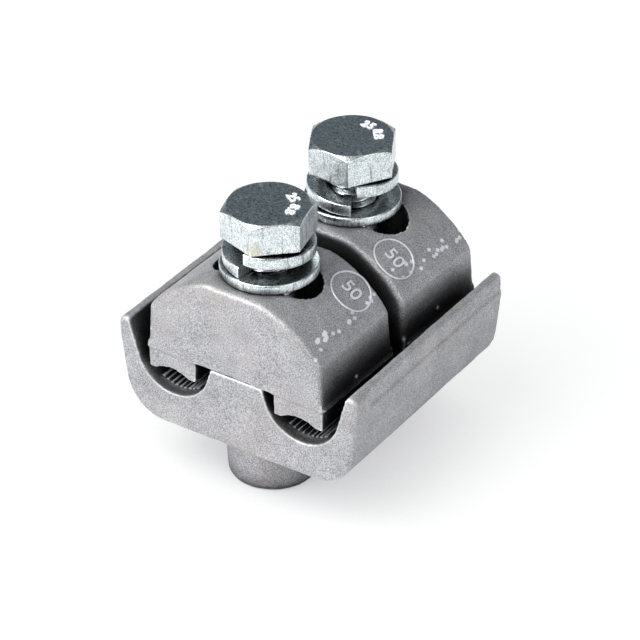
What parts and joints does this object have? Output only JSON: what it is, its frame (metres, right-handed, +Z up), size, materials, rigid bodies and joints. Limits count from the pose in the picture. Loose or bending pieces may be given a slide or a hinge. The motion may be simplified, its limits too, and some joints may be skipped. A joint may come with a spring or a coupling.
{
  "type": "parallel groove clamp",
  "caption": "Cast aluminium clamp that grips two parallel conductors in grooves under bolted keepers.",
  "frame": {"origin": "bottom centre of the clamp, on the ground plane under its two bosses, midway between the screws", "axes": "+X across the conductors, +Y along the conductors towards the rear keeper, +Z up along the screws"},
  "size_m": [0.0442, 0.0433, 0.0492],
  "materials": {
    "cast_aluminium": "matt sand-cast grey with fine grain and brighter worn edges",
    "zinc_plated_steel": "bright zinc plating, slightly bluish"
  },
  "bodies": {
    "base": {"clamp_body": "cast_aluminium"},
    "front_jaw": {"front_keeper": "cast_aluminium", "front_flat_washer": "zinc_plated_steel", "front_spring_washer": "zinc_plated_steel"},
    "rear_jaw": {"rear_keeper": "cast_aluminium", "rear_flat_washer": "zinc_plated_steel", "rear_spring_washer": "zinc_plated_steel"},
    "front_screw": {"front_bolt": "zinc_plated_steel"},
    "rear_screw": {"rear_bolt": "zinc_plated_steel"}
  },
  "joints": [
    {"name": "front_lift", "type": "slide", "parent": "base", "child": "front_jaw", "axis": [0, 0, 1], "range_m": [0, 0.0125]},
    {"name": "rear_lift", "type": "slide", "parent": "base", "child": "rear_jaw", "axis": [0, 0, 1], "range_m": [0, 0.0125]},
    {"name": "front_turn", "type": "hinge", "parent": "front_jaw", "child": "front_screw", "pos_m": [0, -0.0115, 0.0219], "axis": [0, 0, 1], "range_deg": [0, 3600]},
    {"name": "rear_turn", "type": "hinge", "parent": "rear_jaw", "child": "rear_screw", "pos_m": [0, 0.0115, 0.0219], "axis": [0, 0, 1], "range_deg": [0, 3600]}
  ],
  "couplings": [
    {"joint": "front_turn", "follows": "front_lift", "rad_per_m": 5026.5},
    {"joint": "rear_turn", "follows": "rear_lift", "rad_per_m": 5026.5}
  ]
}
